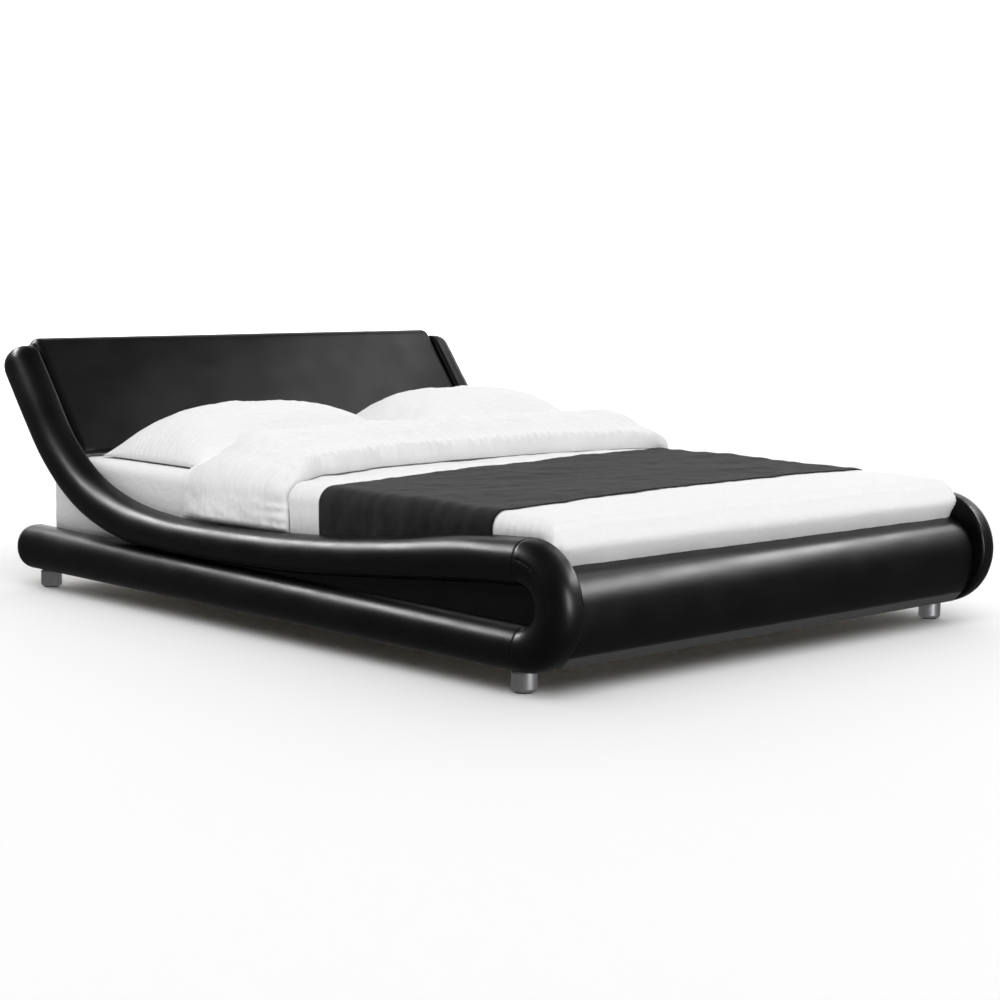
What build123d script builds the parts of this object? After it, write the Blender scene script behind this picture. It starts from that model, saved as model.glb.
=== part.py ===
from build123d import *
import math
import os

# Low upholstered sleigh bed for a queen mattress, shown made up with its bedding.
# Millimetres. X runs across the bed, +Y towards the head, +Z up, and the floor is z = 0.
# The part is drawn with the front feet at y = 0, and moved at the end so that the origin
# is the middle of its footprint.

# Mattress and the room that the frame leaves round it
mattress_width = 1530
mattress_length = 2030
mattress_bottom = 148
mattress_top = 388
mattress_corner = 22
mattress_edge = 32
side_gap = 10
foot_gap = 12

# Padded rolls along the sides: a D section, flat on the mattress side
roll_inner = mattress_width / 2 + side_gap
roll_depth = 82
roll_outer = roll_inner + roll_depth
roll_round = 46
roll_inner_round = 8
roll_bottom = 50
bend_y = -24
bend_thick = 110
bend_hole = 44
bend_z = roll_bottom + bend_thick + bend_hole
lower_rear_y = 2076
lower_rear_top = 178
lower_rear_round = 55

# Middle line of the upper roll, from the foot bend to the top of the headboard: y, z, thickness
spine = [(bend_y, bend_z + bend_hole + bend_thick / 2, bend_thick), (150, 293, 110), (400, 265, 100),
         (780, 231, 98), (1080, 220.5, 97), (1380, 222.5, 97), (1560, 239, 110), (1757, 305, 117),
         (1899, 410, 120), (1995, 525, 126), (2058, 606, 126), (2117, 681, 122)]
upper_end_round = 57

# Plywood side board inside the rolls, and the recessed web between them
board = 18
side_board_inner = roll_inner + 8
board_margin = 28
board_infill = (1400, 113, 222)
web_face = roll_inner + 36
web_tip = (1400, 166, 180)

# Headboard, leaning back between the upper rolls
rake = math.radians(37.4)
head_front_y = 1825.5
head_bottom = 396
head_length = 423
head_foam = 42
head_back_foam = 14
head_cap = 36
head_round = 30
head_half = roll_inner - 0.6
head_back_half = roll_inner - 62

# Footboard
foot_rear_y = -40
foot_top = 297
foot_bottom = 62
foot_half = roll_inner - 0.6
foot_front = [(-56, foot_top), (-112, 275), (-146, 222), (-149, 165), (-130, 104), (-92, foot_bottom)]

# Feet
foot_x = 788
rear_foot_y = 1973
foot_radius = 30
foot_round = 8
washer_radius = 26
washer_thick = 3
stud_radius = 4
stud_reach = 45
stud_grip = 15
glide_radius = 20
glide_thick = 3

# Slatted base
rail = 25
rail_inner = roll_inner - rail
rail_top = mattress_bottom - 2
ledger = 30
ledger_top = 129
ledger_ends = (24, 1908)
slat_count = 13
slat_ends = (90, 1842)
slat_width = 70
slat_thick = 12
slat_lift = 3
cap_length = 32
cap_wall = 3
cap_top = mattress_bottom - 0.5
beam_half = 30
beam_height = 40
saddle = 3
head_rail_thick = 23
head_rail_rear = 1996
centre_leg_radius = 20
centre_leg_places = (280, 980, 1680)
centre_glide_height = 8
bracket = 60
bracket_thick = 4
bracket_holes = (0.25 * bracket, 0.75 * bracket)
head_bracket_places = (90, 270)
corner_bracket_low = 68
saddle_wing = 18
saddle_shelf = 40

# Bolts: shank radius, head radius, head height; and their lengths under the head
bolt = (4, 8, 5)
board_bolt = 16
roll_bolt = 26
corner_bolt = 20
rail_bolt = 48
rail_bolt_z = 74
rail_bolt_places = (180, 600, 1020, 1440, 1860)

# Bedding
clear = 0.5
block_length = 1400
block_height = 600
block_half = 900
duvet_tuck = 120
duvet_half = roll_inner - 1.5
duvet_top = 404
duvet_edge = 30
duvet_corner = 30
duvet_foot_y = -39.5
duvet_hem = 262
fold_front = 950
fold_rear = 1328
fold_top = 472
fold_half = 794
fold_bottom = 276
fold_round = 38
throw_thick = 4
throw_left = (160, 770)
throw_right = (215, 940)
throw_hem = ((100, 356), (1000, 280))
pillow_length = 716
pillow_front = 1334
pillow_rear = 1806
pillow_tops = {"left": 548, "right": 566}
pillow_side = 24
pillow_round = 70

mattress_foot_y = foot_rear_y + foot_gap
mattress_head_y = mattress_foot_y + mattress_length


def box(x0, x1, y0, y1, z0, z1):
    solid = Box(x1 - x0, y1 - y0, z1 - z0, align=(Align.MIN, Align.MIN, Align.MIN))
    return Pos(x0, y0, z0) * solid


def upright(x, y, z0, z1, radius):
    return Pos(x, y, z0) * Cylinder(radius, z1 - z0, align=(Align.CENTER, Align.CENTER, Align.MIN))


def profile(*edges):
    # A closed outline drawn in y and z
    return make_face(Plane.YZ * Wire(edges))


def slab(face, x0, x1):
    # An outline given its width across the bed
    return Pos(x0, 0, 0) * extrude(face, x1 - x0, dir=(1, 0, 0))


def offset_points(margin):
    # The upper roll's two long edges, each margin inside its skin
    line = Spline([(y, z) for y, z, thick in spine], tangents=[(1, 0), (0.6, 0.8)])
    upper = []
    lower = []
    for y, z, thick in spine:
        place = Vector(y, z)
        along = line.tangent_at(line.param_at_point(place))
        side = Vector(-along.Y, along.X) * (thick / 2 - margin)
        if (y, z, thick) == spine[-1]:
            place -= along * margin
        upper.append(place + side)
        lower.append(place - side)
    return upper, lower


def upper_outline(margin):
    upper, lower = offset_points(margin)
    start = upper[0]
    edges = [
        Spline(upper, tangents=[(1, 0), (0.6, 0.8)]),
        Line(upper[-1], lower[-1]),
        Spline(lower[::-1], tangents=[(-0.6, -0.8), (-1, 0)]),
        Line(lower[0], start),
    ]
    return profile(*edges)


def lower_outline(margin):
    y0 = bend_y
    y1 = lower_rear_y - margin
    z0 = roll_bottom + margin
    front_top = roll_bottom + bend_thick - margin
    rear_top = lower_rear_top - margin
    return profile(*Polyline((y0, z0), (y1, z0), (y1, rear_top), (y0, front_top), close=True).edges())


def bend_outline(margin):
    inner = bend_hole + margin
    outer = bend_hole + bend_thick - margin
    outer_arc = ThreePointArc((bend_y, bend_z + outer), (bend_y - outer, bend_z), (bend_y, bend_z - outer))
    inner_arc = ThreePointArc((bend_y, bend_z - inner), (bend_y - inner, bend_z), (bend_y, bend_z + inner))
    top = Line((bend_y, bend_z + inner), (bend_y, bend_z + outer))
    bottom = Line((bend_y, bend_z - outer), (bend_y, bend_z - inner))
    return profile(outer_arc, bottom, inner_arc, top)


def long_edges(solid, x, seam):
    # The edges of one side face, apart from the ones that lie on the seam with the next roll
    edges = solid.edges().filter_by(lambda e: abs(e.center().X - x) < 0.01)
    edges = edges.filter_by(lambda e: abs(e.bounding_box().min.X - e.bounding_box().max.X) < 0.01)
    if seam is None:
        return edges
    return edges.filter_by(lambda e: e.bounding_box().size.Y > 1 or abs(e.center().Y - seam) > 1)


def padded_roll(face, seam, end_round=0):
    roll = slab(face, roll_inner, roll_outer)
    if end_round:
        ends = roll.edges().filter_by(Axis.X).filter_by(lambda e: e.center().Y > 1500)
        roll = fillet(ends, end_round)
    roll = fillet(long_edges(roll, roll_outer, seam), roll_round)
    return fillet(long_edges(roll, roll_inner, seam), roll_inner_round)


def side_board():
    # One sheet of plywood: a strip inside each roll, joined where the rolls lie close together
    x0 = side_board_inner
    x1 = side_board_inner + board
    rear, low, high = board_infill
    disc = Cylinder(bend_z - roll_bottom - board_margin, board, align=(Align.CENTER, Align.CENTER, Align.MIN))
    solid = slab(upper_outline(board_margin), x0, x1)
    solid += slab(lower_outline(board_margin), x0, x1)
    solid += slab(bend_outline(board_margin), x0, x1)
    solid += box(x0, x1, bend_y, rear, low, high)
    return solid + Pos(x0, bend_y, bend_z) * Rot(0, 90, 0) * disc


def side_parts():
    shape = {}
    core = side_board()
    upper = padded_roll(upper_outline(0), bend_y, upper_end_round)
    bend = padded_roll(bend_outline(0), bend_y)
    lower = padded_roll(lower_outline(0), bend_y, lower_rear_round)
    tip_y, tip_low, tip_high = web_tip
    front = bend_y - bend_hole - 2
    corners = [(front, bend_z - bend_hole), (tip_y, tip_low), (tip_y, tip_high),
               (bend_y, bend_z + bend_hole + 4), (front, bend_z + bend_hole)]
    window = profile(*Polyline(*corners, close=True).edges())
    web = slab(window, side_board_inner + board, web_face)
    shape["side_board"] = core
    shape["upper_roll"] = upper - core
    shape["foot_bend"] = bend - core
    shape["lower_roll"] = lower - core
    shape["side_web"] = web - upper - bend - lower
    return shape


def head_point(up, back):
    # A point of the headboard: up along its face from the bottom edge, and back through its thickness
    y = head_front_y + up * math.sin(rake) + back * math.cos(rake)
    z = head_bottom + up * math.cos(rake) - back * math.sin(rake)
    return y, z


def head_layer(front, back, length, half):
    # One layer of the headboard, with its lower edge level
    corners = [head_point(front * math.tan(rake), front), head_point(length, front),
               head_point(length, back), head_point(back * math.tan(rake), back)]
    return slab(profile(*Polyline(*corners, close=True).edges()), -half, half)


def head_turned(solid):
    # Takes a solid drawn upright, with y back through the thickness and z up the face, to its lean
    return Pos(0, head_front_y, head_bottom) * Rot(-math.degrees(rake), 0, 0) * solid


def fastener(size, length):
    # A domed head that rests on z = 0, with its shank along +z
    shank, head, height = size
    stem = Cylinder(shank, length, align=(Align.CENTER, Align.CENTER, Align.MIN))
    cap = Pos(0, 0, -height) * Cylinder(head, height, align=(Align.CENTER, Align.CENTER, Align.MIN))
    cap = fillet(cap.edges().sort_by(Axis.Z)[0], height * 0.6)
    return stem + cap


def hole(size, length):
    return Pos(0, 0, -1) * Cylinder(size[0], length + 1, align=(Align.CENTER, Align.CENTER, Align.MIN))


def both_sides(solids):
    return solids + [mirror(solid, about=Plane.YZ) for solid in solids]


def headboard_parts():
    board_back = head_foam + board
    total = board_back + head_back_foam
    body_length = head_length - head_cap
    pad = head_layer(0, head_foam, head_length, head_half)
    pad += head_turned(box(-head_half, head_half, head_foam - 1, total, body_length, head_length))
    crest = pad.edges().filter_by(Axis.X).sort_by(lambda e: e.center().Z)[-2:]
    pad = fillet(crest, head_round)
    core = head_layer(head_foam, board_back, body_length, head_half - 12)
    back = head_layer(board_back, total, body_length, head_back_half)
    reach = bracket * 0.8
    brackets = []
    bolts = []
    for up in head_bracket_places:
        plate = box(head_half - reach, head_half, board_back, board_back + bracket_thick, up, up + bracket)
        plate += box(head_half - bracket_thick, head_half, board_back, board_back + reach, up, up + bracket)
        for rise in bracket_holes:
            height = up + rise
            to_board = Pos(head_half - reach * 0.6, board_back + bracket_thick, height) * Rot(90, 0, 0)
            to_roll = Pos(head_half - bracket_thick, board_back + reach * 0.6, height) * Rot(0, 90, 0)
            for place, length in ((to_board, board_bolt), (to_roll, roll_bolt)):
                plate -= place * hole(bolt, length)
                bolts.append(head_turned(place * fastener(bolt, length)))
        brackets.append(head_turned(plate))
    return {
        "headboard_pad": pad,
        "headboard_board": core,
        "headboard_back": back,
        "headboard_brackets": Compound(both_sides(brackets)),
        "headboard_bolts": Compound(both_sides(bolts)),
    }


def footboard_parts():
    front = Spline(foot_front, tangents=[(-1, 0), (1, -0.3)])
    rear = Polyline((foot_front[-1][0], foot_bottom), (foot_rear_y, foot_bottom), (foot_rear_y, foot_top - 14),
                    (foot_rear_y - 5, foot_top - 4), foot_front[0])
    pad = slab(profile(front, *rear.edges()), -foot_half, foot_half)
    core = box(-foot_half + 12, foot_half - 12, foot_rear_y - board, foot_rear_y, foot_bottom + 8, foot_top - 20)
    return {"footboard_pad": pad - core, "footboard_board": core}


def feet_parts():
    # Each foot screws up against a washer on a stud that runs into the side board
    shape = {}
    washers = []
    glides = []
    studs = []
    top = roll_bottom - washer_thick
    places = {
        "front_left": (-foot_x, 0),
        "front_right": (foot_x, 0),
        "rear_left": (-foot_x, rear_foot_y),
        "rear_right": (foot_x, rear_foot_y),
    }
    for name, (x, y) in places.items():
        leg = upright(x, y, glide_thick, top, foot_radius)
        leg = fillet(leg.edges().sort_by(Axis.Z)[0], foot_round)
        stud = upright(x, y, top - stud_grip, roll_bottom + stud_reach, stud_radius)
        shape["foot_" + name] = leg - stud
        glides.append(upright(x, y, 0, glide_thick, glide_radius))
        washers.append(upright(x, y, top, roll_bottom, washer_radius) - stud)
        studs.append(stud)
    shape["foot_washers"] = Compound(washers)
    shape["foot_glides"] = Compound(glides)
    shape["foot_studs"] = Compound(studs)
    return shape


def slat_places():
    step = (slat_ends[1] - slat_ends[0]) / (slat_count - 1)
    return [slat_ends[0] + step * number for number in range(slat_count)]


def end_cap(x_shut, x_open, y):
    # A plastic slat holder, open towards x_open
    low, high = sorted((x_shut, x_open))
    wide = slat_width / 2 + cap_wall
    cap = box(low, high, y - wide, y + wide, ledger_top, cap_top)
    wall = cap_wall if x_open > x_shut else -cap_wall
    low, high = sorted((x_shut + wall, x_open + wall))
    z0 = ledger_top + slat_lift
    return cap - box(low, high, y - slat_width / 2, y + slat_width / 2, z0, z0 + slat_thick)


def base_parts():
    shape = {}
    rails = box(rail_inner, roll_inner, foot_rear_y, head_rail_rear, roll_bottom, rail_top)
    strip = box(rail_inner - ledger, rail_inner, *ledger_ends, ledger_top - ledger, ledger_top)
    head_rail_front = head_rail_rear - head_rail_thick
    head_rail = box(-rail_inner, rail_inner, head_rail_front, head_rail_rear, roll_bottom + 10, rail_top)
    beam_front = foot_rear_y + saddle
    beam_rear = head_rail_front - saddle
    beam = box(-beam_half, beam_half, beam_front, beam_rear, ledger_top - beam_height, ledger_top)
    z_low = ledger_top - beam_height
    saddles = []
    for y, inward in ((foot_rear_y, 1), (beam_rear + saddle, -1)):
        ends = sorted((y, y + inward * saddle))
        back = box(-beam_half - saddle_wing, beam_half + saddle_wing, *ends, z_low - saddle, ledger_top)
        ends = sorted((y + inward * saddle, y + inward * saddle_shelf))
        shelf = box(-beam_half, beam_half, *ends, z_low - saddle, z_low)
        cheeks = both_sides([box(beam_half, beam_half + saddle, *ends, z_low - saddle, ledger_top - 8)])
        saddles.append(back + shelf + cheeks[0] + cheeks[1])
    rail_bolts = []
    for y in rail_bolt_places:
        place = Pos(rail_inner, y, rail_bolt_z) * Rot(0, 90, 0)
        rails -= place * hole(bolt, rail)
        rail_bolts.append(place * fastener(bolt, rail_bolt))
    corner_brackets = []
    corner_bolts = []
    for y, inward in ((foot_rear_y, 1), (head_rail_front, -1)):
        across = sorted((y, y + inward * bracket_thick))
        along = sorted((y, y + inward * bracket))
        low, high = corner_bracket_low, corner_bracket_low + bracket
        angle = box(rail_inner - bracket, rail_inner, *across, low, high)
        angle += box(rail_inner - bracket_thick, rail_inner, *along, low, high)
        for rise in bracket_holes:
            z = low + rise
            to_end = Pos(rail_inner - bracket * 0.6, y + inward * bracket_thick, z) * Rot(90 * inward, 0, 0)
            to_rail = Pos(rail_inner - bracket_thick, y + inward * bracket * 0.6, z) * Rot(0, 90, 0)
            for place in (to_end, to_rail):
                angle -= place * hole(bolt, 2 * bracket_thick)
                corner_bolts.append(place * fastener(bolt, corner_bolt))
        corner_brackets.append(angle)
    shape["side_rail_left"] = mirror(rails, about=Plane.YZ)
    shape["side_rail_right"] = rails
    shape["slat_ledger_left"] = mirror(strip, about=Plane.YZ)
    shape["slat_ledger_right"] = strip
    shape["head_rail"] = head_rail
    shape["centre_beam"] = beam
    shape["beam_saddles"] = Compound(saddles)
    shape["rail_bolts"] = Compound(both_sides(rail_bolts))
    shape["corner_brackets"] = Compound(both_sides(corner_brackets))
    shape["corner_bolts"] = Compound(both_sides(corner_bolts))
    legs = []
    glides = []
    for y in centre_leg_places:
        legs.append(upright(0, y, centre_glide_height, z_low, centre_leg_radius))
        glide = upright(0, y, 0, centre_glide_height, centre_leg_radius + 4)
        glides.append(fillet(glide.edges().sort_by(Axis.Z)[-1], 3))
    shape["centre_legs"] = Compound(legs)
    shape["centre_leg_glides"] = Compound(glides)
    slats = []
    caps = []
    centre_caps = []
    z0 = ledger_top + slat_lift
    for y in slat_places():
        slats.append(box(cap_wall, rail_inner - cap_wall, y - slat_width / 2, y + slat_width / 2,
                         z0, z0 + slat_thick))
        caps.append(end_cap(rail_inner, rail_inner - cap_length, y))
        centre_caps.append(end_cap(0, cap_length, y) + end_cap(0, -cap_length, y))
    shape["slats_right"] = Compound(slats)
    shape["slats_left"] = Compound([mirror(slat, about=Plane.YZ) for slat in slats])
    shape["slat_caps_right"] = Compound(caps)
    shape["slat_caps_left"] = Compound([mirror(cap, about=Plane.YZ) for cap in caps])
    shape["slat_caps_centre"] = Compound(centre_caps)
    return shape


def soft_block(x0, x1, y0, y1, z0, z1, corner, edge, bottom_edge=0):
    block = box(x0, x1, y0, y1, z0, z1)
    if corner:
        block = fillet(block.edges().filter_by(Axis.Z), corner)
    block = fillet(block.faces().sort_by(Axis.Z)[-1].edges(), edge)
    if bottom_edge:
        block = fillet(block.faces().sort_by(Axis.Z)[0].edges(), bottom_edge)
    return block


def hoop(half, top, corner):
    # A solid with rounded upper corners that fills the bed's width up to one height
    ring = [(half, 0), (half, top), (-half, top), (-half, 0)]
    block = extrude(make_face(Plane.XZ * Polyline(*ring, close=True)), block_length, dir=(0, 1, 0))
    return fillet(block.edges().filter_by(Axis.Y).sort_by(Axis.Z)[-2:], corner)


def throw_cloth():
    # One thickness of cloth over the duvet, cut askew, with a hem that drops towards the head
    half = duvet_half + clear
    top = duvet_top + clear
    cloth = hoop(half + throw_thick, top + throw_thick, duvet_edge + throw_thick) - hoop(half, top, duvet_edge)
    reach = half + throw_thick + 1
    cut = Polyline((-reach, throw_left[0]), (reach, throw_right[0]), (reach, throw_right[1]),
                   (-reach, throw_left[1]), close=True)
    (y0, z0), (y1, z1) = throw_hem
    below = profile(*Polyline((y0, 0), (y1, 0), (y1, z1), (y0, z0), close=True).edges())
    return (cloth & extrude(make_face(cut), block_height)) - slab(below, -block_half, block_half)


def bedding_parts():
    shape = {}
    half = mattress_width / 2
    shape["mattress"] = soft_block(-half, half, mattress_foot_y, mattress_head_y, mattress_bottom,
                                   mattress_top, mattress_corner, mattress_edge, mattress_edge * 0.6)
    cover = soft_block(-duvet_half, duvet_half, duvet_foot_y, fold_rear - duvet_tuck, duvet_hem,
                       duvet_top, duvet_corner, duvet_edge)
    fold = soft_block(-fold_half, fold_half, fold_front, fold_rear, fold_bottom, fold_top,
                      fold_round, fold_round)
    hollow = soft_block(-half - clear, half + clear, mattress_foot_y - clear, mattress_head_y, 0,
                        mattress_top + clear, mattress_corner - 6, mattress_edge - 4)
    duvet = cover + fold
    shape["duvet"] = duvet - hollow
    shape["throw"] = throw_cloth()
    for side, x0, x1 in (("left", -pillow_side - pillow_length, -pillow_side),
                         ("right", pillow_side, pillow_side + pillow_length)):
        shape["pillow_" + side] = soft_block(x0, x1, pillow_front, pillow_rear, mattress_top + clear,
                                             pillow_tops[side], pillow_round, pillow_round, pillow_round)
    return shape


def whole_bed():
    shape = {}
    for name, solid in side_parts().items():
        shape[name + "_left"] = mirror(solid, about=Plane.YZ)
        shape[name + "_right"] = solid
    for group in (headboard_parts(), footboard_parts(), feet_parts(), base_parts(), bedding_parts()):
        shape.update(group)
    return shape


os.makedirs("parts", exist_ok=True)
bed = whole_bed()
nose = bed["foot_bend_right"].bounding_box().min.Y
rear = bed["upper_roll_right"].bounding_box().max.Y
for name, solid in bed.items():
    solid = Pos(0, -(nose + rear) / 2, 0) * solid
    export_step(solid, f"parts/{name}.step")
print("length", round(rear - nose, 2), "shift", round(-(nose + rear) / 2, 3))
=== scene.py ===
import math
import bpy, bmesh
from mathutils import Vector, Matrix, noise


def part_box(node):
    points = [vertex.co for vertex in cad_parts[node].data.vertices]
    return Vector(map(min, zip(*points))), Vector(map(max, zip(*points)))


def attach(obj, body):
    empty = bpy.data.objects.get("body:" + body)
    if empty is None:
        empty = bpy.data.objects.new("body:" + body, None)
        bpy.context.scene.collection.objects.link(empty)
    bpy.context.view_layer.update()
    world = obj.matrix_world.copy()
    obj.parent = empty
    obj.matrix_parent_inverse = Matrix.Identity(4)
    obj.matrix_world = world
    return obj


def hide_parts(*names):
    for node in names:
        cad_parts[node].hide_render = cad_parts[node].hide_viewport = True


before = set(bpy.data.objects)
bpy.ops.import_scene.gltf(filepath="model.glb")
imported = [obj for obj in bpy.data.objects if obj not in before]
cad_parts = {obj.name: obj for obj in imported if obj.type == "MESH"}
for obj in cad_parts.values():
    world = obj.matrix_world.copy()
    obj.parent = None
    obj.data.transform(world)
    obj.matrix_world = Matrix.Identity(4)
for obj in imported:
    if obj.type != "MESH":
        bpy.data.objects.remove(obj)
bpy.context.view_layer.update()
mm = 0.001
footFront = sum(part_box("foot_front_left"), Vector()) / 2
sides = {"left": -1, "right": 1}


def place(x, y, z):
    # millimetres, with y counted from the front feet towards the head
    return Vector((x * mm, y * mm + footFront.y, z * mm))


def box(name):
    # a node's lowest and highest corner in the same millimetres
    low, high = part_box(name)
    shift = Vector((0, footFront.y, 0))
    return (low - shift) / mm, (high - shift) / mm


def linear(hexColour):
    parts = [int(hexColour[i:i + 2], 16) / 255 for i in (1, 3, 5)]
    return [p / 12.92 if p <= 0.04045 else ((p + 0.055) / 1.055) ** 2.4 for p in parts] + [1]


def addNode(material, kind, inputs=None, **settings):
    # one shader node, with its settings and either values or links on its inputs
    made = material.node_tree.nodes.new(kind)
    for key, value in settings.items():
        setattr(made, key, value)
    for key, value in (inputs or {}).items():
        if isinstance(value, bpy.types.NodeSocket):
            material.node_tree.links.new(value, made.inputs[key])
        else:
            made.inputs[key].default_value = value
    return made


def startMaterial(name, **values):
    material = bpy.data.materials.new(name)
    material.use_nodes = True
    shader = material.node_tree.nodes["Principled BSDF"]
    for key, value in values.items():
        shader.inputs[key.replace("_", " ")].default_value = value
    where = addNode(material, "ShaderNodeTexCoord").outputs["Object"]
    return material, shader, where


def scaled(material, where, scale):
    mapped = addNode(material, "ShaderNodeMapping", {"Vector": where, "Scale": scale})
    return mapped.outputs["Vector"]


def ramp(material, factor, *stops):
    made = addNode(material, "ShaderNodeValToRGB", {"Fac": factor})
    band = made.color_ramp
    for index, (spot, colour) in enumerate(stops):
        stop = band.elements[index] if index < 2 else band.elements.new(spot)
        stop.position = spot
        stop.color = colour if isinstance(colour, list) else [colour, colour, colour, 1]
    return made.outputs["Color"]


def raised(material, height, strength, distance, under=None):
    inputs = {"Height": height, "Strength": strength, "Distance": distance}
    if under:
        inputs["Normal"] = under
    return addNode(material, "ShaderNodeBump", inputs).outputs["Normal"]


def finishMaterial(material, shader, **links):
    for key, socket in links.items():
        material.node_tree.links.new(socket, shader.inputs[key.replace("_", " ")])
    return material


def blackLeather():
    # coated leather cloth: near black, a soft gloss that breaks up over fine pebbled grain
    material, shader, where = startMaterial("blackLeather", Specular_IOR_Level=0.2)
    cloudy = addNode(material, "ShaderNodeTexNoise", {"Vector": where, "Scale": 9.0, "Detail": 3.0})
    grain = addNode(material, "ShaderNodeTexVoronoi", {"Vector": where, "Scale": 700.0, "Randomness": 1.0})
    pores = addNode(material, "ShaderNodeTexNoise", {"Vector": where, "Scale": 420.0, "Detail": 2.0})
    gloss = ramp(material, cloudy.outputs["Fac"], (0.3, 0.33), (0.7, 0.41))
    tint = ramp(material, cloudy.outputs["Fac"], (0.35, linear("#050506")), (0.7, linear("#09090a")))
    normal = raised(material, grain.outputs["Distance"], 0.25, 0.00012)
    normal = raised(material, pores.outputs["Fac"], 0.2, 0.0001, normal)
    return finishMaterial(material, shader, Base_Color=tint, Roughness=gloss, Normal=normal)


def backingCloth():
    # thin black spun cloth stapled on where nobody looks: flat, dusty, a little fuzzy
    material, shader, where = startMaterial("backingCloth", Roughness=0.95, Sheen_Weight=0.15)
    fibres = addNode(material, "ShaderNodeTexNoise", {"Vector": where, "Scale": 260.0, "Detail": 4.0})
    tint = ramp(material, fibres.outputs["Fac"], (0.3, linear("#0d0d0d")), (0.75, linear("#1c1c1c")))
    normal = raised(material, fibres.outputs["Fac"], 0.3, 0.0004)
    return finishMaterial(material, shader, Base_Color=tint, Normal=normal)


def whiteSheet():
    # smooth percale pulled tight: bright, with faint tension marks
    material, shader, where = startMaterial("whiteSheet", Roughness=0.85, Sheen_Weight=0.12)
    slack = addNode(material, "ShaderNodeTexNoise", {"Vector": scaled(material, where, (5, 9, 12)),
                    "Detail": 3.0})
    weave = addNode(material, "ShaderNodeTexNoise", {"Vector": where, "Scale": 900.0, "Detail": 1.0})
    tint = ramp(material, weave.outputs["Fac"], (0.3, linear("#e8e8e8")), (0.7, linear("#f3f3f3")))
    normal = raised(material, slack.outputs["Fac"], 0.35, 0.006)
    normal = raised(material, weave.outputs["Fac"], 0.2, 0.0002, normal)
    return finishMaterial(material, shader, Base_Color=tint, Normal=normal)


def seersucker(name, across):
    # crinkled cotton: puckered bands between flat ones, with a crepe of tiny wrinkles
    material, shader, where = startMaterial(name, Roughness=0.9, Sheen_Weight=0.15)
    drift = addNode(material, "ShaderNodeTexNoise", {"Vector": where, "Scale": 7.0, "Detail": 2.0})
    bent = addNode(material, "ShaderNodeVectorMath", {0: drift.outputs["Color"], 1: (0.012, 0.012, 0.012)},
                   operation="MULTIPLY")
    lines = addNode(material, "ShaderNodeVectorMath", {0: where, 1: bent.outputs["Vector"]}, operation="ADD")
    bands = addNode(material, "ShaderNodeTexWave", {"Vector": lines.outputs["Vector"],
                    "Scale": across["bands"], "Distortion": 2.6, "Detail": 2.0, "Detail Scale": 2.5},
                    wave_type="BANDS", bands_direction=across["direction"])
    crepe = addNode(material, "ShaderNodeTexNoise", {"Vector": scaled(material, lines.outputs["Vector"],
                    across["crepe"]), "Detail": 3.0, "Roughness": 0.6})
    ridges = ramp(material, bands.outputs["Fac"], (0.25, 0.0), (0.8, 1.0))
    puckers = addNode(material, "ShaderNodeMath", {0: crepe.outputs["Fac"], 1: ridges}, operation="MULTIPLY")
    tint = ramp(material, crepe.outputs["Fac"], (0.25, linear("#e9e9e9")), (0.7, linear("#f5f5f5")))
    normal = raised(material, ridges, 0.25, 0.0006)
    normal = raised(material, puckers.outputs["Value"], 0.5, 0.0022, normal)
    return finishMaterial(material, shader, Base_Color=tint, Normal=normal)


def charcoalWool():
    # felted wool: no shine at all, a pale nap at the edges of folds
    material, shader, where = startMaterial("charcoalWool", Roughness=1.0, Sheen_Weight=0.1,
                                            Sheen_Roughness=0.5, Specular_IOR_Level=0.2)
    mottle = addNode(material, "ShaderNodeTexNoise", {"Vector": where, "Scale": 45.0, "Detail": 5.0})
    fibre = addNode(material, "ShaderNodeTexNoise", {"Vector": scaled(material, where, (500, 900, 700)),
                    "Detail": 3.0})
    tint = ramp(material, mottle.outputs["Fac"], (0.3, linear("#0c0c0e")), (0.72, linear("#17171a")))
    normal = raised(material, fibre.outputs["Fac"], 0.6, 0.0006)
    normal = raised(material, mottle.outputs["Fac"], 0.25, 0.0012, normal)
    return finishMaterial(material, shader, Base_Color=tint, Normal=normal)


def turnedAluminium():
    # satin feet off a lathe: bright, with fine rings round them
    material, shader, where = startMaterial("turnedAluminium", Metallic=1.0, Anisotropic=0.4)
    rings = addNode(material, "ShaderNodeTexNoise", {"Vector": scaled(material, where, (20, 20, 2600)),
                    "Detail": 2.0})
    tint = ramp(material, rings.outputs["Fac"], (0.3, linear("#c3c4c6")), (0.7, linear("#dcdddf")))
    gloss = ramp(material, rings.outputs["Fac"], (0.3, 0.24), (0.7, 0.36))
    normal = raised(material, rings.outputs["Fac"], 0.15, 0.00005)
    return finishMaterial(material, shader, Base_Color=tint, Roughness=gloss, Normal=normal)


def zincSteel():
    # plated brackets and screws: cool grey spangle
    material, shader, where = startMaterial("zincSteel", Metallic=1.0)
    spangle = addNode(material, "ShaderNodeTexVoronoi", {"Vector": where, "Scale": 220.0})
    tint = ramp(material, spangle.outputs["Distance"], (0.0, linear("#a9abad")), (0.8, linear("#c6c8ca")))
    gloss = ramp(material, spangle.outputs["Distance"], (0.0, 0.32), (0.8, 0.48))
    return finishMaterial(material, shader, Base_Color=tint, Roughness=gloss)


def powderCoat():
    # baked black paint with a light orange peel
    material, shader, where = startMaterial("powderCoat", Base_Color=linear("#141414"), Roughness=0.5)
    peel = addNode(material, "ShaderNodeTexNoise", {"Vector": where, "Scale": 500.0, "Detail": 2.0})
    return finishMaterial(material, shader, Normal=raised(material, peel.outputs["Fac"], 0.3, 0.0002))


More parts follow.
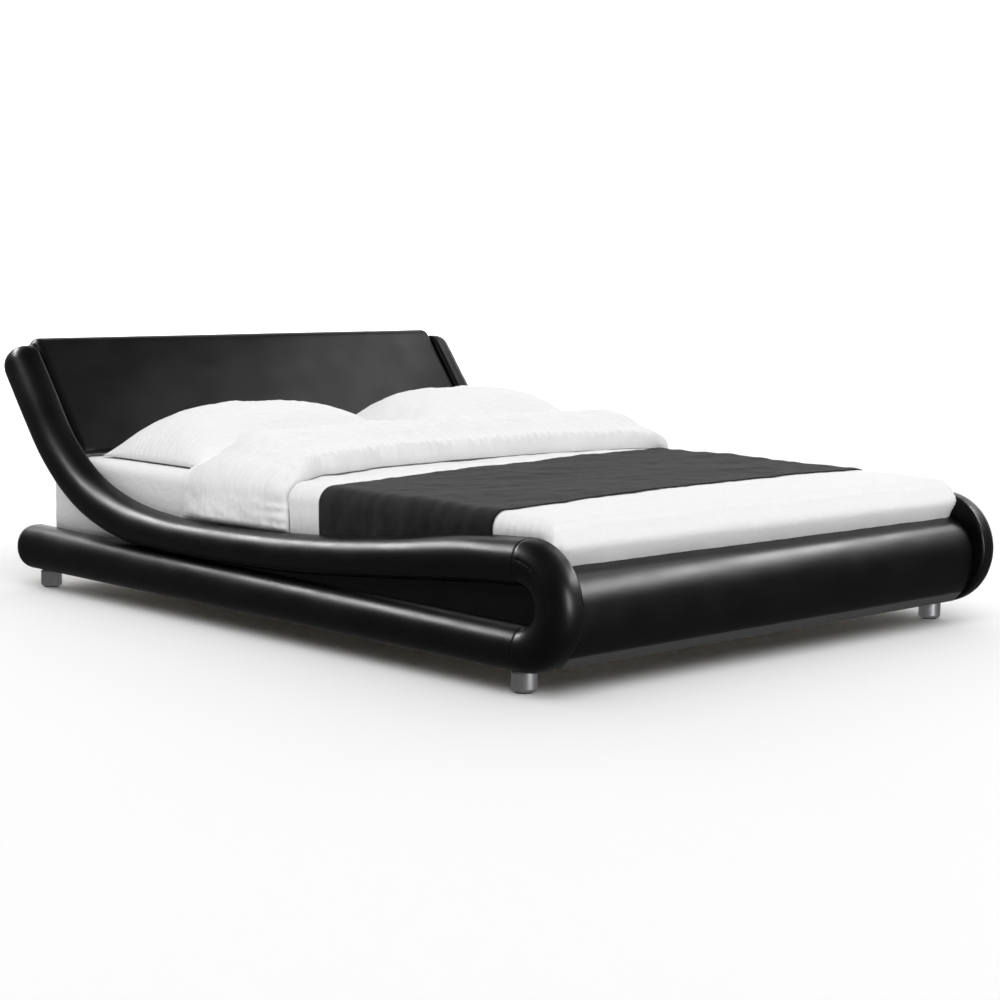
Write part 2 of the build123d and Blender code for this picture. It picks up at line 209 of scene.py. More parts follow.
def mouldedPlastic():
    # black slat holders and glides, finely textured by the mould
    material, shader, where = startMaterial("mouldedPlastic", Base_Color=linear("#161617"), Roughness=0.55)
    texture = addNode(material, "ShaderNodeTexVoronoi", {"Vector": where, "Scale": 900.0})
    normal = raised(material, texture.outputs["Distance"], 0.25, 0.0001)
    return finishMaterial(material, shader, Normal=normal)


def timber(name, pale, dark, stretch, roughness=0.6):
    # planed wood: long darker growth lines along the grain, with fine pores
    material, shader, where = startMaterial(name, Roughness=roughness)
    along = scaled(material, where, stretch)
    fine = scaled(material, where, [share * 7 for share in stretch])
    growth = addNode(material, "ShaderNodeTexNoise", {"Vector": along, "Detail": 5.0, "Distortion": 0.6})
    pores = addNode(material, "ShaderNodeTexNoise", {"Vector": fine, "Detail": 2.0})
    tint = ramp(material, growth.outputs["Fac"], (0.32, linear(dark)), (0.62, linear(pale)))
    normal = raised(material, pores.outputs["Fac"], 0.25, 0.0003)
    return finishMaterial(material, shader, Base_Color=tint, Normal=normal)


finishes = {
    "leather": blackLeather(),
    "backing": backingCloth(),
    "sheet": whiteSheet(),
    "duvet": seersucker("duvetCotton", {"bands": 13.0, "direction": "Y", "crepe": (140, 60, 90)}),
    "pillow": seersucker("pillowCotton", {"bands": 15.0, "direction": "Y", "crepe": (140, 60, 90)}),
    "wool": charcoalWool(),
    "aluminium": turnedAluminium(),
    "zinc": zincSteel(),
    "paint": powderCoat(),
    "plastic": mouldedPlastic(),
    "plywood": timber("birchPlywood", "#c2b7a4", "#a79b86", (60, 4, 30)),
    "pine": timber("pine", "#cfc6b6", "#b5aa96", (45, 3, 45)),
    "beech": timber("beechSlats", "#d2c8b6", "#b9ad97", (3, 70, 70), 0.45),
}
print("materials made")

# Carried-over wood, metal and plastic
nodeFinish = {
    "side_board_left": "plywood", "side_board_right": "plywood", "headboard_board": "plywood",
    "footboard_board": "plywood", "side_rail_left": "pine", "side_rail_right": "pine",
    "slat_ledger_left": "pine", "slat_ledger_right": "pine", "head_rail": "pine", "centre_beam": "pine",
    "slats_left": "beech", "slats_right": "beech", "slat_caps_left": "plastic", "slat_caps_right": "plastic",
    "slat_caps_centre": "plastic", "foot_glides": "plastic", "centre_leg_glides": "plastic",
    "centre_legs": "paint", "foot_front_left": "aluminium", "foot_front_right": "aluminium",
    "foot_rear_left": "aluminium", "foot_rear_right": "aluminium", "headboard_brackets": "zinc",
    "headboard_bolts": "zinc", "foot_washers": "zinc", "foot_studs": "zinc", "beam_saddles": "zinc",
    "rail_bolts": "zinc", "corner_brackets": "zinc", "corner_bolts": "zinc",
}
for name, finish in nodeFinish.items():
    for index in range(max(1, len(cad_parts[name].material_slots))):
        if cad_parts[name].material_slots:
            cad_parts[name].material_slots[index].material = finishes[finish]
        else:
            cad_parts[name].data.materials.append(finishes[finish])


def toObject(bm, name, finish, body, smooth=True):
    bmesh.ops.recalc_face_normals(bm, faces=bm.faces)
    for face in bm.faces:
        face.smooth = smooth
    mesh = bpy.data.meshes.new(name)
    bm.to_mesh(mesh)
    bm.free()
    mesh.materials.append(finishes[finish])
    piece = bpy.data.objects.new(name, mesh)
    bpy.context.collection.objects.link(piece)
    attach(piece, body)
    return piece


def gridTube(columns, rows, spot):
    # a grid rolled up: spot(u, w) places each point, u from end to end and w once round, with closed ends
    bm = bmesh.new()
    bmesh.ops.create_grid(bm, x_segments=columns, y_segments=rows, size=1)
    for vert in bm.verts:
        vert.co = spot((vert.co.x + 1) / 2, (vert.co.y + 1) / 2)
    bmesh.ops.remove_doubles(bm, verts=bm.verts, dist=0.00002)
    bmesh.ops.holes_fill(bm, edges=[edge for edge in bm.edges if edge.is_boundary])
    return bm


def smoothStep(value, low, high):
    t = min(1, max(0, (value - low) / (high - low)))
    return t * t * (3 - 2 * t)


def smoothLine(points, t):
    # a point on a smooth curve through the points, t from 0 to 1 by length; the points hold any numbers
    lengths = [0]
    for a, b in zip(points, points[1:]):
        lengths.append(lengths[-1] + math.dist(a[:2], b[:2]))
    want = t * lengths[-1]
    index = max(i for i in range(len(points) - 1) if lengths[i] <= want + 1e-9)
    f = (want - lengths[index]) / (lengths[index + 1] - lengths[index])
    four = [points[max(0, min(len(points) - 1, index + k))] for k in (-1, 0, 1, 2)]
    spans = [math.dist(a[:2], b[:2]) for a, b in zip(four, four[1:])]
    result = []
    for p0, p1, p2, p3 in zip(*four):
        m1 = m2 = p2 - p1
        if spans[0] >= 1e-9:
            m1 = (p2 - p1) / spans[1] * spans[0] + (p1 - p0) / spans[0] * spans[1]
            m1 = m1 / (spans[0] + spans[1]) * spans[1]
        if spans[2] >= 1e-9:
            m2 = (p3 - p2) / spans[2] * spans[1] + (p2 - p1) / spans[1] * spans[2]
            m2 = m2 / (spans[1] + spans[2]) * spans[1]
        result.append((2 * f ** 3 - 3 * f ** 2 + 1) * p1 + (f ** 3 - 2 * f ** 2 + f) * m1
                      + (3 * f ** 2 - 2 * f ** 3) * p2 + (f ** 3 - f ** 2) * m2)
    return result


def evenLoop(points, count):
    # the same closed outline with its points evenly spaced
    closed = points + [points[0]]
    lengths = [0]
    for a, b in zip(closed, closed[1:]):
        lengths.append(lengths[-1] + math.dist(a, b))
    spaced = []
    index = 0
    for k in range(count):
        want = lengths[-1] * k / count
        while lengths[index + 1] < want:
            index += 1
        f = (want - lengths[index]) / (lengths[index + 1] - lengths[index])
        spaced.append([p + (q - p) * f for p, q in zip(closed[index], closed[index + 1])])
    return spaced


def roundedOutline(corners, count):
    # corners are (a, b, radius); arcs replace them
    points = []
    for index, (a, b, radius) in enumerate(corners):
        here = Vector((a, b))
        before = (Vector(corners[index - 1][:2]) - here).normalized()
        after = (Vector(corners[(index + 1) % len(corners)][:2]) - here).normalized()
        if radius < 0.01:
            points.append((a, b))
            continue
        half = before.angle(after) / 2
        centre = here + (before + after).normalized() * radius / math.sin(half)
        start = here + before * radius / math.tan(half) - centre
        end = here + after * radius / math.tan(half) - centre
        turn = start.angle_signed(end)
        for step in range(9):
            points.append(tuple(centre + Matrix.Rotation(-turn * step / 8, 2) @ start))
    return evenLoop(points, count)


def insetLoop(loop, amount):
    # every point moved inwards, square to the outline
    area = sum(a[0] * b[1] - b[0] * a[1] for a, b in zip(loop, loop[1:] + loop[:1]))
    sign = 1 if area > 0 else -1
    moved = []
    for index, (a, b) in enumerate(loop):
        before, after = loop[index - 1], loop[(index + 1) % len(loop)]
        along = Vector((after[0] - before[0], after[1] - before[1])).normalized()
        moved.append((a - along.y * amount * sign, b + along.x * amount * sign))
    return moved


def endInset(edge, radius):
    # how far an outline shrinks near a rounded end, edge being the distance left to that end
    return radius * (1 - math.sqrt(max(0, 1 - (1 - edge / radius) ** 2))) if edge < radius else 0


# Padded side rolls, each made of rings along its middle line
rolls = {
    "flat": 20,            # millimetres of the D section before it turns round
    "innerCorner": 11,
    "around": {"upper": 60, "bend": 120, "lower": 60},
    "spine": [(-24, 303, 110), (150, 293, 110), (400, 265, 100), (780, 231, 98), (1080, 220.5, 97),
              (1380, 222.5, 97), (1560, 239, 110), (1757, 305, 117), (1899, 410, 120), (1995, 525, 126),
              (2058, 606, 126), (2117, 681, 122)],
    "lowerRear": 2076,
    "lowerRearTop": 178,
    "bendThick": 110,
    "endLength": 52,
    "seamDepth": 0.7,      # how far the covers dip where two meet
    "seamWidth": 2.4,
    "seamSteps": (0, 0.8, 1.7, 2.8, 4.2, 6.2, 9, 13),
    "bendColumns": 110,
    "longColumns": 250,
    "endColumns": 26,
    "unevenness": 0.9,
    "stitchLine": (112, 96, 184),    # radius from the bend's centre, and the degrees it runs over
}
bendLow, bendHigh = box("foot_bend_right")
rollInner, rollOuter = bendLow.x, bendHigh.x
bendOuter = (bendHigh.z - bendLow.z) / 2
bendY, bendZ = bendLow.y + bendOuter, bendLow.z + bendOuter
rollBottom = bendLow.z


def rollSection(half, depth, count):
    # flat against the mattress and rounded outside: pairs of depth from the inner face and offset across
    corner, flat = rolls["innerCorner"], rolls["flat"]
    points = []
    for step in range(9):
        angle = math.pi * (1 + step / 16)
        points.append((corner + corner * math.cos(angle), -half + corner + corner * math.sin(angle)))
    for step in range(41):
        angle = math.pi * (step / 40 - 0.5)
        rise = math.copysign(abs(math.sin(angle)) ** 0.92, angle)
        points.append((flat + (depth - flat) * max(0, math.cos(angle)) ** 0.8, half * rise))
    for step in range(9):
        angle = math.pi * (0.5 + step / 16)
        points.append((corner + corner * math.cos(angle), half - corner + corner * math.sin(angle)))
    return evenLoop(points, count)


def rollStation(kind, t):
    # middle of the roll, its direction and its thickness
    if kind == "upper":
        y, z, thick = smoothLine(rolls["spine"], t)
        y0, z0, _ = smoothLine(rolls["spine"], max(0, t - 0.002))
        y1, z1, _ = smoothLine(rolls["spine"], min(1, t + 0.002))
        return (y, z), Vector((y1 - y0, z1 - z0)).normalized(), thick
    if kind == "bend":
        angle = math.pi * (0.5 + t)
        radius = bendOuter - rolls["bendThick"] / 2
        middle = (bendY + radius * math.cos(angle), bendZ + radius * math.sin(angle))
        return middle, Vector((math.sin(angle), -math.cos(angle))), rolls["bendThick"]
    rear = rolls["lowerRearTop"] - rollBottom
    thick = rolls["bendThick"] + (rear - rolls["bendThick"]) * t
    return (bendY + (rolls["lowerRear"] - bendY) * t, rollBottom + thick / 2), Vector((1, 0)), thick


def stitchPull(y, z):
    # the seam that follows the outside of the bend: how far the cover is pulled in
    radius, first, last = rolls["stitchLine"]
    away = math.hypot(y - bendY, z - bendZ) - radius
    angle = math.degrees(math.atan2(z - bendZ, y - bendY)) % 360
    if abs(away) > 40 or not first - 8 < angle < last + 8:
        return 0
    ends = smoothStep(angle, first - 6, first + 3) * (1 - smoothStep(angle, last - 3, last + 6))
    groove = 1.5 * math.exp(-(away / 2.6) ** 2)
    beat = math.sin(angle * 2.9 + 2 * math.sin(angle * 0.31)) * math.exp(-abs(away) / 7) * 0.35
    return (groove + beat) * ends


def rollSteps(kind, long):
    # places along a roll, closer together at its seams and its round end
    near = [distance / long for distance in rolls["seamSteps"]]
    if kind == "bend":
        count = rolls["bendColumns"]
        even = [near[-1] + (1 - 2 * near[-1]) * k / count for k in range(1, count)]
        return near + even + [1 - t for t in reversed(near)]
    end = rolls["endLength"] / long
    count, last = rolls["longColumns"], rolls["endColumns"]
    even = [near[-1] + (1 - end - near[-1]) * k / count for k in range(1, count)]
    return near + even + [1 - end + end * math.sin(math.pi / 2 * k / last) for k in range(last + 1)]


def makeRoll(kind, side):
    sign = sides[side]
    around = rolls["around"][kind]
    rings = []
    long = {"upper": sum(math.dist(a[:2], b[:2]) for a, b in zip(rolls["spine"], rolls["spine"][1:])),
            "bend": math.pi * (bendOuter - rolls["bendThick"] / 2), "lower": rolls["lowerRear"] - bendY}[kind]
    steps = rollSteps(kind, long)
    for t in steps:
        (y, z), along, thick = rollStation(kind, t)
        fromStart, fromEnd = t * long, (1 - t) * long
        seams = [fromStart, fromEnd] if kind == "bend" else [fromStart]
        pinch = sum(rolls["seamDepth"] * math.exp(-(d / rolls["seamWidth"]) ** 2) for d in seams)
        half, depth = thick / 2 - pinch, rollOuter - rollInner - pinch
        if kind != "bend" and fromEnd < rolls["endLength"]:
            bulge = max(0.0004, 1 - (1 - fromEnd / rolls["endLength"]) ** 2.3) ** (1 / 2.3)
            half *= 0.14 + 0.86 * bulge
            depth *= 0.46 + 0.54 * bulge
        across = Vector((-along.y, along.x))
        ring = []
        for deep, offset in rollSection(half, depth, around):
            py, pz = y + across.x * offset, z + across.y * offset
            spot = Vector((deep / 260, py / 260, pz / 260 + 7 * sign))
            wave = noise.fractal(spot, 0.6, 2.0, 3) * rolls["unevenness"]
            outward = smoothStep(deep, 8, depth)
            deep += (wave - (stitchPull(py, pz) if deep > depth * 0.6 else 0)) * outward
            py += across.x * wave * 0.6
            pz += across.y * wave * 0.6
            ring.append(place(sign * (rollInner + deep), py, pz))
        rings.append(ring)
    columns = len(steps) - 1
    bm = gridTube(columns, around, lambda u, w: rings[round(u * columns)][round(w * around) % around])
    name = {"upper": "upperRoll", "bend": "footBend", "lower": "lowerRoll"}[kind] + side.capitalize()
    piece = toObject(bm, name, "leather", "bed_frame")
    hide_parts({"upper": "upper_roll_", "bend": "foot_bend_", "lower": "lower_roll_"}[kind] + side)


for side in sides:
    for kind in ("upper", "bend", "lower"):
        makeRoll(kind, side)
print("side rolls made")

# The covered panel between the rolls keeps its designed shape
for side in sides:
    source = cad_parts["side_web_" + side]
    bm = bmesh.new()
    bm.from_mesh(source.data)
    bmesh.ops.remove_doubles(bm, verts=bm.verts, dist=0.0001)
    web = toObject(bm, "sideWeb" + side.capitalize(), "leather", "bed_frame",
                   smooth=False)
    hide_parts("side_web_" + side)

# Headboard, drawn up its face and back through its thickness, then leaned
headboard = {
    "rake": math.radians(37.4),
    "front": (1825.5, 396),    # bottom front edge, y and z
    "length": 423,
    "foam": 42,
    "thick": 74,
    "cap": 36,
    "crest": 30,
    "curl": 20,
    "half": 774.4,
    "endRound": 22,
    "crown": 5,
    "backHalf": 713,
    "board": 18,
    "steps": 150,
    "backSteps": 90,
}


def headPlace(x, up, back):
    rake = headboard["rake"]
    y0, z0 = headboard["front"]
    y = y0 + up * math.sin(rake) + back * math.cos(rake)
    return place(x, y, z0 + up * math.cos(rake) - back * math.sin(rake))


def makeHeadboard():
    h = headboard
    lean = math.tan(h["rake"])
    outline = [(0, 0, h["curl"] * 0.5), (h["length"], 0, h["crest"]), (h["length"], h["thick"], 20),
               (h["length"] - h["cap"], h["thick"], 2), (h["length"] - h["cap"], h["foam"], 0),
               (h["foam"] * lean, h["foam"], 0)]
    around = columns = h["steps"]
    loop = roundedOutline(outline, around)
    rings = []
    for column in range(columns + 1):
        t = column / columns * 2 - 1
        t = t * (1 + 0.25 * (1 - t * t)) if abs(t) < 1 else t
        x = t * h["half"]
        inset = endInset(h["half"] - abs(x), h["endRound"])
        ring = []
        for up, back in insetLoop(loop, inset):
            if back < 20:
                swell = h["crown"] * (1 - abs(t) ** 8) * max(0, math.sin(math.pi * up / h["length"])) ** 0.6
                wave = noise.fractal(Vector((x / 420, up / 240, 3.1)), 0.7, 2.0, 3) * 1.6
                back -= swell * (1 - back / 20) - 1 + wave * (1 - back / 20)
            ring.append(headPlace(x, up, back))
        rings.append(ring)
    bm = gridTube(columns, around, lambda u, w: rings[round(u * columns)][round(w * around) % around])
    pad = toObject(bm, "headboardPad", "leather", "bed_frame")
    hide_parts("headboard_pad")
    total = h["thick"]
    board = h["foam"] + h["board"]
    outline = [(board * lean, board, 0), (total * lean, total, 5), (h["length"] - h["cap"] - 0.5, total, 5),
               (h["length"] - h["cap"] - 0.5, board, 0)]
    count = h["backSteps"]
    loop = roundedOutline(outline, count)

    def backSpot(u, w):
        x = (u * 2 - 1) * h["backHalf"]
        up, back = loop[round(w * count) % count]
        slack = noise.fractal(Vector((x / 160, up / 160, 9)), 0.8, 2, 3) * 1.5
        return headPlace(x, up, back - (abs(slack) if back > total - 1 else 0))
    bm = gridTube(count, count, backSpot)
    backing = toObject(bm, "headboardBacking", "backing", "bed_frame")
    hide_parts("headboard_back")


makeHeadboard()

# Footboard
footboard = {
    "front": [(-56, 297), (-112, 275), (-146, 222), (-149, 165), (-130, 104), (-92, 62)],
    "rear": [(-42, 62), (-42, 287)],
    "steps": (160, 150),   # along the board and round it
    "half": 774.4,
    "endRound": 12,
    "seam": 92,            # height of the seam above the dust cloth
}


def makeFootboard():
    f = footboard
    front = [tuple(smoothLine(f["front"], k / 40)) for k in range(41)]
    columns, around = f["steps"]
    loop = evenLoop(front + f["rear"], around)
    rings = []
    for column in range(columns + 1):
        t = column / columns * 2 - 1
        t = t * (1 + 0.25 * (1 - t * t))
        x = t * f["half"]
        inset = endInset(f["half"] - abs(x), f["endRound"])
        ring = []
        for y, z in insetLoop(loop, inset):
            wave = noise.fractal(Vector((x / 300, z / 160, 5.5)), 0.8, 2, 3) * 1.3
            facing = smoothStep(-y, 60, 110)
            groove = 2.2 * math.exp(-((z - f["seam"]) / 2.5) ** 2)
            ring.append(place(x, y + (wave + groove) * facing, z))
        rings.append(ring)
    bm = gridTube(columns, around, lambda u, w: rings[round(u * columns)][round(w * around) % around])
    pad = toObject(bm, "footboardPad", "leather", "bed_frame")
    pad.data.materials.append(finishes["backing"])
    limit = f["seam"] * mm
    for face in pad.data.polygons:
        if face.center.z < limit:
            face.material_index = 1
    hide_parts("footboard_pad")


makeFootboard()
print("headboard and footboard made")

# Bedding
mattressLow, mattressHigh = box("mattress")
bed = {
    "half": mattressHigh.x,
    "foot": mattressLow.y - 30,    # the cover reaches 30 past the mattress
    "top": mattressHigh.z,
    "round": 30,
}


def drape(a, y, lift):
    # a flat sheet laid over the mattress and turned down over its edges: a and y lie on the sheet
    radius = bed["round"]
    edgeX, edgeY = bed["half"] - radius, bed["foot"] + radius
    outX, outY = max(abs(a) - edgeX, 0), max(edgeY - y, 0)
    out = (outX ** 6 + outY ** 6) ** (1 / 6)
    if out < 1e-6:
        return place(a, y, bed["top"] + lift)
    turn = min(out / radius, math.pi / 2)
    reach = (radius + lift) * math.sin(turn)
    down = radius - (radius + lift) * math.cos(turn) + max(0, out - radius * math.pi / 2)
    size = math.hypot(outX, outY)
    side = math.copysign(1, a)
    return place(side * (edgeX + reach * outX / size) if outX > 0 else a,
                 edgeY - reach * outY / size if outY > 0 else y, bed["top"] - down)


def layer(columns, rows, spot):
    # a closed layer: spot(u, w, top) gives the sheet place and the lift of its upper or lower skin
    def wrapped(u, w):
        top = w < 0.5
        along = w * 2 if top else 2 - w * 2
        return drape(*spot(u, along, top))
    return gridTube(columns, rows * 2, wrapped)


def makeMattress():
    low, high = mattressLow, mattressHigh
    bm = bmesh.new()
    bmesh.ops.create_cube(bm, size=1)
    for vert in bm.verts:
        vert.co = place(*((l + h) / 2 + (h - l) * c for l, h, c in zip(low, high, vert.co)))
    upright = [e for e in bm.edges if abs(e.verts[0].co.z - e.verts[1].co.z) > 0.1]
    bmesh.ops.bevel(bm, geom=upright, offset=0.024, segments=4, profile=0.5, affect="EDGES", material=-1)
    level = [e for e in bm.edges if abs(e.verts[0].co.z - e.verts[1].co.z) < 1e-5 and len(e.link_faces) == 2
             and any(abs(f.normal.z) > 0.9 for f in e.link_faces)]
    bmesh.ops.bevel(bm, geom=level, offset=0.026, segments=4, profile=0.5, affect="EDGES", material=-1)
    piece = toObject(bm, "mattressInSheet", "sheet", "mattress")
    remesh(piece, 0.012)
    for vert in piece.data.vertices:
        p = vert.co / mm
        p.y -= footFront.y / mm
        slack = noise.fractal(Vector((p.x / 130, p.y / 130, p.z / 60)), 0.7, 2, 4)
        nearHead = smoothStep(p.y, high.y - 200, high.y)
        vert.co -= vert.normal * abs(slack) * (0.8 + 2.2 * nearHead) * mm
    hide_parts("mattress")


def remesh(piece, size):
    modifier = piece.modifiers.new("even", "REMESH")
    modifier.mode = "VOXEL"
    modifier.voxel_size = size
    modifier.use_smooth_shade = True
    applyAll(piece)


def applyAll(piece):
    graph = bpy.context.evaluated_depsgraph_get()
    mesh = bpy.data.meshes.new_from_object(piece.evaluated_get(graph), depsgraph=graph)
    old = piece.data
    piece.modifiers.clear()
    piece.data = mesh
    mesh.name = old.name
    bpy.data.meshes.remove(old)
    for face in mesh.polygons:
        face.use_smooth = True


makeMattress()

duvet = {
    "rear": 1290,
    "hem": 118,             # how far the cover hangs down its sides
    "footHem": 100,
    "footBulge": 26,         # the end swells out over the footboard
    "bulgeStart": 26,
    "bulgeReach": 62,
    "lift": 11.5,
    "foldFront": [(-900, 866), (-760, 876), (-560, 972), (-300, 1040), (0, 1060), (300, 1058), (560, 1030),
                  (775, 975), (900, 960)],
    "foldRear": 1330,
    "foldHem": 104,
    "coverSteps": (250, 190),    # across and along
    "foldSteps": (330, 120),
}


def lineAt(points, a):
    # the smooth line's value at a, with the points sorted along a
    for (a0, v0), (a1, v1) in zip(points, points[1:]):
        if a <= a1:
            f = max(0, (a - a0) / (a1 - a0))
            return v0 + (v1 - v0) * f * f * (3 - 2 * f)
    return points[-1][1]


def coverLift(a, y):
    long = noise.fractal(Vector((a / 330, y / 190, 1.7)), 0.7, 2, 3) * 3.2
    fine = noise.fractal(Vector((a / 60, y / 90, 4.2)), 0.8, 2, 3) * 1.5
    past = bed["foot"] + duvet["bulgeStart"] - y
    bulge = duvet["footBulge"] * math.exp(-((past - duvet["bulgeReach"]) / 34) ** 2) if past > 0 else 0
    return duvet["lift"] + max(-3.6, min(4.0, long + fine)) + bulge


def makeCover():
    across = bed["half"] + duvet["hem"]
    front = bed["foot"] - duvet["footHem"]

    def spot(u, w, top):
        a = (u * 2 - 1) * across
        y = front + (duvet["rear"] - front) * w
        edge = min(across - abs(a), y - front, duvet["rear"] - y)
        full = math.sqrt(max(0, 1 - (1 - min(1, edge / 12)) ** 2))
        lift = coverLift(a, y)
        outX, outY = max(abs(a) - bed["half"] + 40, 0), max(bed["foot"] + 40 - y, 0)
        if outX > 0 and outY > 0:      # gathers where the foot corners are tucked in
            angle = math.atan2(outY, outX)
            depth = smoothStep(min(outX, outY), 0, 60)
            lift += depth * (2.2 * math.sin(angle * 19 + a * 0.01) + 1.4 * math.sin(angle * 41))
        middle = 5.5
        return a, y, (middle + (max(7, lift) - middle) * full) if top else (middle + (0.8 - middle) * full)
    bm = layer(*duvet["coverSteps"], spot)
    piece = toObject(bm, "duvetCover", "duvet", "duvet")
    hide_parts("duvet")


def makeFold():
    across = bed["half"] + duvet["foldHem"]

    def spot(u, w, top):
        a = (u * 2 - 1) * across
        front = lineAt(duvet["foldFront"], a) + 7 * noise.fractal(Vector((a / 90, 0, 8)), 0.7, 2, 3)
        rear = duvet["foldRear"] + 8 * noise.fractal(Vector((a / 120, 3, 2)), 0.7, 2, 3)
        eased = w + 0.05 * -math.sin(2 * math.pi * w)
        y = front + (rear - front) * eased
        side = smoothStep(abs(a), bed["half"] - (130 if a < 0 else 40), bed["half"] + 25)
        crest = (120 - 8 * (a / bed["half"]) ** 2) * (1 - side) + 44 * side
        lip = min(1, (eased / 0.07)) if eased < 0.07 else 1
        lip = math.sqrt(max(0, 1 - (1 - lip) ** 2))
        rise = 0.5 + 0.5 * math.sin(math.pi * min(1, max(0, (eased - 0.02) / 0.55)) - math.pi / 2)
        back = 1 - smoothStep(eased, 0.62, 1.0) ** 1.6
        profile = lip * (0.55 + 0.45 * rise) * (0.06 + 0.94 * back)
        hang = smoothStep(across - abs(a), 0, 16)
        big = noise.fractal(Vector((a / 240, y / 150, 6.1)), 0.7, 2, 3) * 9 * (1 - side * 0.6)
        nearHem = math.exp(-(y - front) / 55)
        gather = math.sin(a / 4.6 + 3 * noise.noise(Vector((a / 50, y / 60, 0)))) * 4.2 * nearHem * lip
        fine = noise.fractal(Vector((a / 38, y / 60, 2.2)), 0.8, 2, 3) * 3.6
        crumple = math.sin(y / 8 + 4 * noise.noise(Vector((y / 40, a / 40, 1)))) * 2.6
        crumple *= math.exp(-(across - abs(a)) / 22)
        lift = 15 + (crest - 15 + big) * profile + (gather + fine) * lip + crumple * lip
        lift = 14 + (max(lift, 15) - 14) * (0.25 + 0.75 * hang)
        return a, y, (lift if top else 13.5)
    bm = layer(*duvet["foldSteps"], spot)
    piece = toObject(bm, "duvetFold", "duvet", "duvet")


makeCover()
makeFold()

throw = {
    "front": [(-900, 118), (-700, 123), (-350, 184), (0, 220), (400, 228), (775, 217), (900, 215)],
    "rear": [(-900, 748), (-760, 754), (-400, 826), (0, 897), (400, 942), (775, 972), (900, 975)],
    "hem": 106,
    "thick": 3.2,
    "steps": (300, 130),
}


def makeThrow():
    across = bed["half"] + throw["hem"]

    def spot(u, w, top):
        a = (u * 2 - 1) * across
        front, rear = lineAt(throw["front"], a), lineAt(throw["rear"], a)
        front += 2.5 * noise.fractal(Vector((a / 130, 2, 2)), 0.7, 2, 3)
        rear += 3 * noise.fractal(Vector((a / 110, 7, 2)), 0.7, 2, 3)
        y = front + (rear - front) * w
        fold = noise.fractal(Vector((a / 300, y / 70 + a / 900, 3.3)), 0.7, 2, 2)
        lift = coverLift(a, y) + 0.9 + max(0, fold) * 3.2
        edge = min(across - abs(a), y - front, rear - y)
        full = math.sqrt(max(0, 1 - (1 - min(1, edge / 2.5)) ** 2))
        middle = lift + throw["thick"] / 2
        return a, y, middle + throw["thick"] / 2 * full * (1 if top else -1)
    bm = layer(*throw["steps"], spot)
    piece = toObject(bm, "throwCloth", "wool", "throw")
    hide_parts("throw")


makeThrow()
print("mattress, duvet and throw made")

pillow = {
    "seam": 0.035,         # height of the seam, as a share of the pillow's height
    "pull": 0.03,          # how far the sides draw in between the corners
    "ends": {"left": (18, 84), "right": (44, 62)},
    "forward": 76,         # the right pillow reaches further under the fold
    "steps": (120, 176),
}


def makePillow(side):
    low, high = box("pillow_" + side)
    low.x += pillow["ends"][side][0]
    high.x += pillow["ends"][side][1]
    low.y -= pillow["forward"] * (side == "right")
    centre = (low + high) / 2
    halfX, halfY = (high.x - low.x) / 2, (high.y - low.y) / 2
    tall = high.z - low.z
    seamZ = low.z + tall * pillow["seam"]
    seed = sides[side] * 5 + 20

    def spot(u, w):
        top = w < 0.5
        a = u * 2 - 1
        b = (w * 4 - 1) if top else (3 - w * 4)
        a = math.sin(a * math.pi / 2) * 0.35 + a * 0.65
        b = math.sin(b * math.pi / 2) * 0.35 + b * 0.65
        x = centre.x + halfX * a * (1 - pillow["pull"] * (1 - b ** 4) * a * a)
        y = centre.y + halfY * b * (1 - pillow["pull"] * (1 - a ** 4) * b * b)
        belly = max(0, (1 - abs(a) ** 3.0) * (1 - abs(b) ** 2.6)) ** 0.62
        radial = math.sin(10 * math.atan2(b, a) + 2 * noise.noise(Vector((a * 2, b * 2, seed))))
        corner = smoothStep(abs(a) * abs(b), 0.3, 0.8)
        wrinkle = noise.fractal(Vector((x / 120, y / 90, seed)), 0.7, 2, 4) * 7 * belly
        wrinkle += radial * 4 * corner * belly
        if top:
            z = seamZ + (high.z - seamZ) * belly + wrinkle * 0.8
        else:
            z = max(low.z + 0.6, seamZ - (seamZ - low.z) * min(1, belly * 1.6))
        return place(x, y, min(z, high.z + 6))
    bm = gridTube(*pillow["steps"], spot)
    piece = toObject(bm, "pillow" + side.capitalize(), "pillow", "pillow_" + side)
    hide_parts("pillow_" + side)


for side in sides:
    makePillow(side)
print("pillows made")

# Room, lights and camera
studio = {
    "floor": 40,
    "world": 0.13,
    "backdrop": {"place": (7.4, 7.6, 4.0), "size": (20, 9)},
}


def stagePlane(name, size, material):
    bm = bmesh.new()
    bmesh.ops.create_grid(bm, x_segments=1, y_segments=1, size=0.5)
    bmesh.ops.scale(bm, vec=(*size, 1), verts=bm.verts)
    mesh = bpy.data.meshes.new(name)
    bm.to_mesh(mesh)
    bm.free()
    mesh.materials.append(material)
    plane = bpy.data.objects.new(name, mesh)
    bpy.context.collection.objects.link(plane)
    return plane


